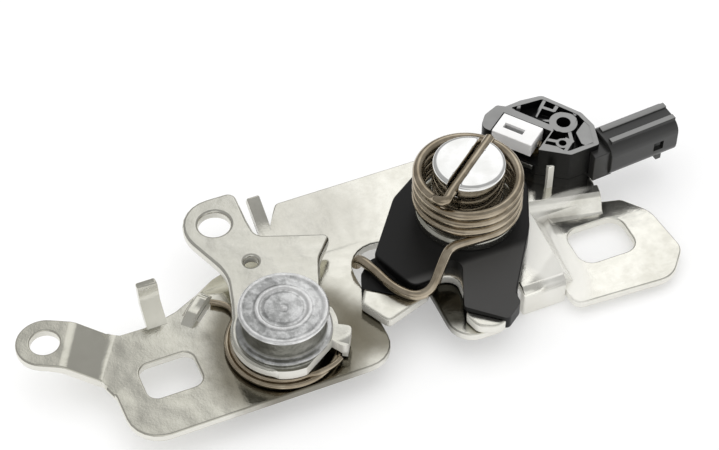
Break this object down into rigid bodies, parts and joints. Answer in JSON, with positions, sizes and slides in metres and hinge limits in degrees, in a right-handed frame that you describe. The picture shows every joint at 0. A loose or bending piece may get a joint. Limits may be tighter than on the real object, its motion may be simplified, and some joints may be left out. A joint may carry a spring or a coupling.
{
  "type": "bonnet latch",
  "caption": "Bonnet latch: stamped plate with striker mouth, spring-loaded rotary catch, release lever with cable eye, and a bonnet-open switch with plug socket.",
  "frame": {"origin": "centre of the round end of the striker mouth, on the underside of the plate", "axes": "+X along the plate towards the plug socket, -Y out of the striker mouth, +Z out of the plate's working side along the pivot post"},
  "size_m": [0.1926, 0.0686, 0.0357],
  "materials": {
    "zinc_plate": "zinc plated, fairly bright",
    "zinc_lever": "zinc plated, satin",
    "catch_steel": "zinc plated, fairly bright",
    "black_cover": "satin black overmould",
    "bearing_bronze": "plain bearing sleeve",
    "plain_steel": "plain steel",
    "polished_steel": "polished",
    "spring_steel": "drawn wire, brown grey",
    "rivet_steel": "zinc plated, mottled",
    "switch_black": "satin black moulding",
    "slider_white": "white moulding",
    "contact_metal": "tin-free contact strip"
  },
  "bodies": {
    "frame": {"base_plate": "zinc_plate", "claw_pin": "polished_steel", "claw_washer": "plain_steel", "spring_seat": "plain_steel", "claw_spring": "spring_steel", "pawl_rivet": "rivet_steel", "pawl_spacer": "plain_steel", "pawl_spring": "spring_steel", "switch_base": "switch_black", "switch_housing": "switch_black", "slider_spring": "spring_steel", "contact_front": "contact_metal", "contact_back": "contact_metal", "connector_shell": "switch_black", "actuator_leaf": "plain_steel"},
    "catch": {"claw_core": "catch_steel", "claw_cover": "black_cover", "claw_bush": "bearing_bronze"},
    "lever": {"pawl_lever": "zinc_lever", "pawl_bush": "bearing_bronze"},
    "slider": {"switch_slider": "slider_white", "contact_bridge": "contact_metal"}
  },
  "joints": [
    {"name": "claw_swing", "type": "hinge", "parent": "frame", "child": "catch", "pos_m": [0.0264, 0.0035, 0], "axis": [0, 0, 1], "range_deg": [-44, 0], "deforming": ["claw_spring"]},
    {"name": "pawl_swing", "type": "hinge", "parent": "frame", "child": "lever", "pos_m": [-0.034, -0.015, 0], "axis": [0, 0, 1], "range_deg": [-3, 12], "deforming": ["pawl_spring"]},
    {"name": "slider_slide", "type": "slide", "parent": "frame", "child": "slider", "axis": [0.606, -0.7955, 0], "range_m": [0, 0.002], "deforming": ["slider_spring"]}
  ]
}
